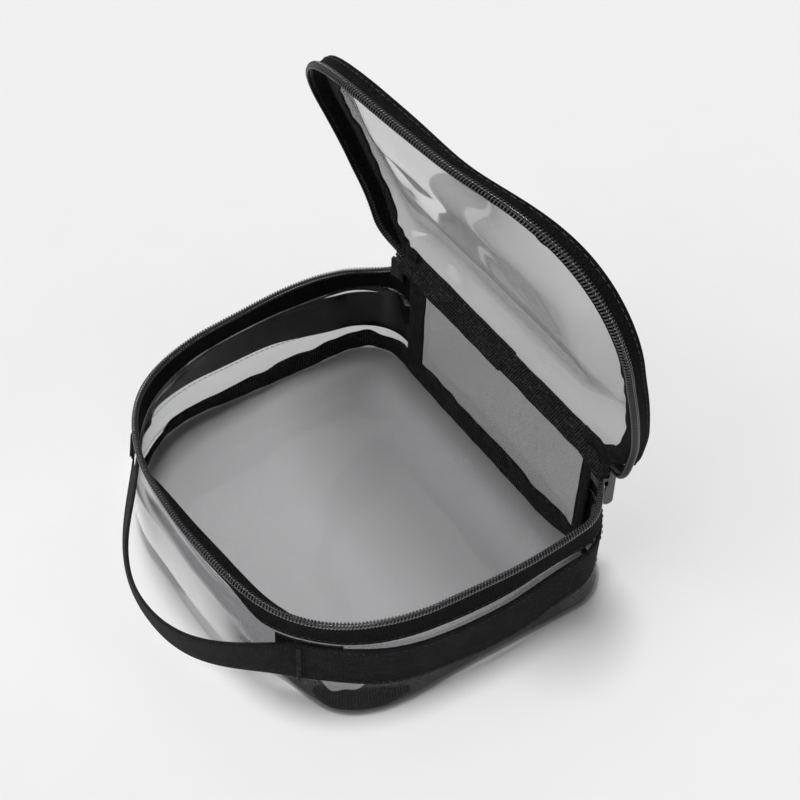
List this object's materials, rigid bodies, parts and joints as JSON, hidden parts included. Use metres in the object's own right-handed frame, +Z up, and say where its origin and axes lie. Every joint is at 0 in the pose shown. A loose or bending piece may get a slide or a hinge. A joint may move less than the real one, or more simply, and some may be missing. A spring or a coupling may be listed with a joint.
{
  "type": "makeup bag",
  "caption": "Rounded clear makeup bag with a zip-round hinged lid, bound seams and a webbing strap that forms a carry loop at the front.",
  "frame": {"origin": "centre of the base's footprint, on the surface the bag stands on", "axes": "+Z up, -Y towards the front with the carry loop, +X towards the bag's own left-to-right right-hand side seen from the front; the lid is stored open"},
  "size_m": [0.1938, 0.1974, 0.2299],
  "materials": {
    "clear_film": "smoky transparent PVC film, high gloss",
    "binding": "matte woven grosgrain tape, black",
    "zip_tape": "matte twill zipper tape with an open-weave edge, black",
    "zip_coil": "satin nylon coil, black",
    "thread": "black polyester thread, slight sheen",
    "webbing": "fine twill webbing, black",
    "slider_metal": "black enamel, semi-gloss",
    "pull_metal": "black enamel, semi-gloss"
  },
  "bodies": {
    "shell": {"base_panel": "clear_film", "gusset_wall": "clear_film", "back_wall": "clear_film", "base_binding": "binding", "corner_binding_left": "binding", "corner_binding_right": "binding", "rim_zip_tape": "zip_tape", "rim_zip_coil": "zip_coil", "rim_stitching": "thread", "strap_left": "webbing", "strap_right": "webbing", "strap_patch_left": "webbing", "strap_patch_right": "webbing", "bar_tack_left": "thread", "bar_tack_right": "thread", "strap_stitching": "thread"},
    "lid": {"lid_panel": "clear_film", "lid_zip_tape": "zip_tape", "lid_zip_coil": "zip_coil", "lid_binding": "binding", "lid_stitching": "thread"},
    "left_slider": {"slider_left": "slider_metal"},
    "right_slider": {"slider_right": "slider_metal"},
    "left_pull": {"pull_tab_left": "pull_metal"},
    "right_pull": {"pull_tab_right": "pull_metal"},
    "handle": {"handle_loop": "webbing"}
  },
  "joints": [
    {"name": "lid_hinge", "type": "hinge", "parent": "shell", "child": "lid", "pos_m": [0, 0.0832, 0.0706], "axis": [-1, 0, 0], "range_deg": [-72, 108]},
    {"name": "slider_left_run", "type": "hinge", "parent": "shell", "child": "left_slider", "pos_m": [-0.072, 0.06, 0.06105], "axis": [0, 0, 1], "range_deg": [0, 65]},
    {"name": "slider_right_run", "type": "hinge", "parent": "shell", "child": "right_slider", "pos_m": [0.072, 0.06, 0.06105], "axis": [0, 0, -1], "range_deg": [0, 65]},
    {"name": "pull_left_swing", "type": "hinge", "parent": "left_slider", "child": "left_pull", "pos_m": [-0.07852, 0.08826, 0.06105], "axis": [0.9744, 0.225, 0], "range_deg": [0, 110]},
    {"name": "pull_right_swing", "type": "hinge", "parent": "right_slider", "child": "right_pull", "pos_m": [0.07852, 0.08826, 0.06105], "axis": [0.9744, -0.225, 0], "range_deg": [0, 110]},
    {"name": "handle_swing", "type": "hinge", "parent": "shell", "child": "handle", "pos_m": [0, -0.07127, 0.0345], "axis": [-1, 0, 0], "range_deg": [-3, 55]}
  ]
}
